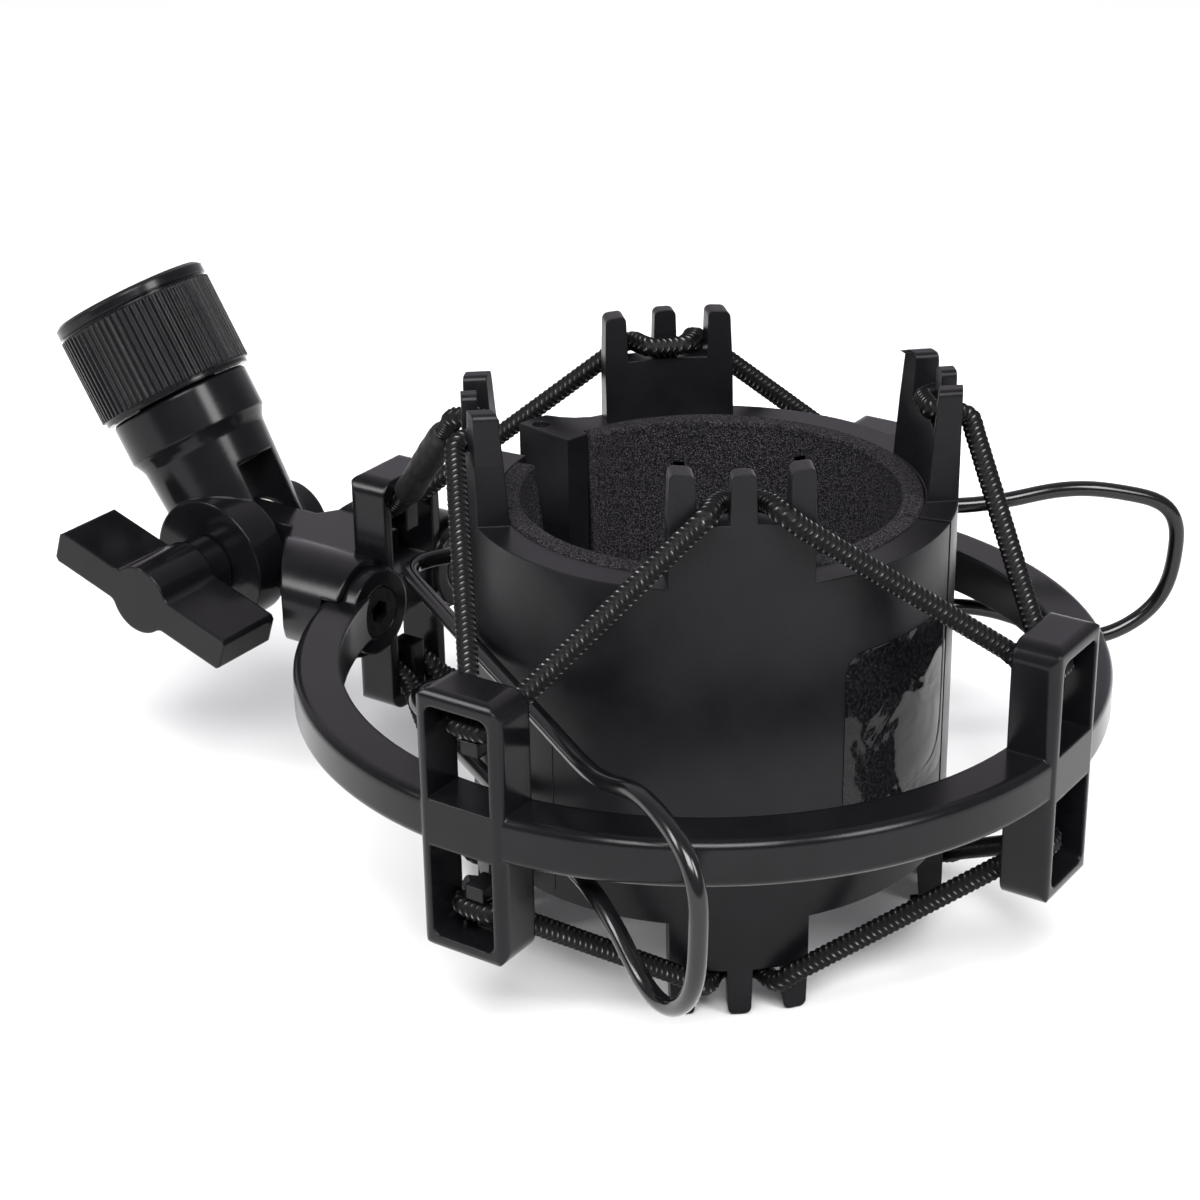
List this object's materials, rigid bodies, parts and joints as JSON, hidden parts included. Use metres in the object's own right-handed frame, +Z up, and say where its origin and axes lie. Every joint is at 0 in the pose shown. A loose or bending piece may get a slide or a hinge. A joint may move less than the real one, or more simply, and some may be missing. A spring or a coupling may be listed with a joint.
{
  "type": "microphone shock mount",
  "caption": "Spring-clip microphone shock mount: a split foam-lined basket hangs on zigzag elastics in a ring with yokes, on a tilting threaded stand socket.",
  "frame": {"origin": "on the axis of the foam-lined basket, at the mid-height of the suspension ring", "axes": "+Z up along the microphone's axis, the stand bracket and socket along -X, the basket's opening side along +X"},
  "size_m": [0.1598, 0.1283, 0.0728],
  "materials": {
    "satin_black": "satin black moulded nylon",
    "matt_black": "matt black moulded nylon, fine grain",
    "foam": "coarse open-cell black foam",
    "coated_wire": "spring wire with a black vinyl coat",
    "braid": "black braided elastic cord with light flecks",
    "black_rubber": "soft black splice tube",
    "black_steel": "black oxide cap screws",
    "bright_steel": "zinc-plated steel",
    "white_nylon": "natural nylon washers",
    "thread_brass": "turned brass, 27 threads to the inch"
  },
  "bodies": {
    "frame": {"outer_ring": "satin_black", "bracket_arm": "satin_black", "bracket_screws": "black_steel", "tilt_washers": "white_nylon", "top_elastic": "braid", "top_sleeve": "black_rubber", "bottom_elastic": "braid", "bottom_sleeve": "black_rubber"},
    "core": {"hinge_pin": "bright_steel", "hinge_spring": "bright_steel"},
    "front_half": {"front_shell": "matt_black", "front_foam": "foam", "front_handle": "coated_wire"},
    "rear_half": {"rear_shell": "matt_black", "rear_foam": "foam", "rear_handle": "coated_wire"},
    "socket": {"stand_socket": "satin_black", "tilt_nut": "bright_steel"},
    "collar_unit": {"collar": "satin_black", "collar_clip": "bright_steel", "thread_insert": "thread_brass"},
    "knob": {"wing_knob": "satin_black", "knob_stud": "bright_steel"}
  },
  "joints": [
    {"name": "suspension_float", "type": "slide", "parent": "frame", "child": "core", "axis": [0, 0, 1], "range_m": [-0.003, 0.0015], "stiffness_N_per_m": 1000, "deforming": ["top_elastic", "bottom_elastic", "top_sleeve", "bottom_sleeve"]},
    {"name": "front_shell_open", "type": "hinge", "parent": "core", "child": "front_half", "pos_m": [-0.03195, 0.00826, 0], "axis": [0, 0, -1], "range_deg": [0, 3], "stiffness_Nm_per_rad": 0.3, "springref_deg": -17.19},
    {"name": "rear_shell_open", "type": "hinge", "parent": "core", "child": "rear_half", "pos_m": [-0.03195, 0.00826, 0], "axis": [0, 0, 1], "range_deg": [0, 3], "stiffness_Nm_per_rad": 0.3, "springref_deg": -17.19},
    {"name": "stand_swivel", "type": "hinge", "parent": "frame", "child": "socket", "pos_m": [-0.0779, 0, 0], "axis": [0, 1, 0], "range_deg": [-120, 45]},
    {"name": "collar_spin", "type": "hinge", "parent": "socket", "child": "collar_unit", "pos_m": [-0.09358, 0, 0.02558], "axis": [-0.5225, 0, 0.8526], "continuous": true},
    {"name": "knob_turn", "type": "hinge", "parent": "frame", "child": "knob", "pos_m": [-0.0779, 0, 0], "axis": [0, -1, 0], "continuous": true}
  ],
  "couplings": [
    {"joint": "rear_shell_open", "follows": "front_shell_open", "ratio": 1}
  ]
}
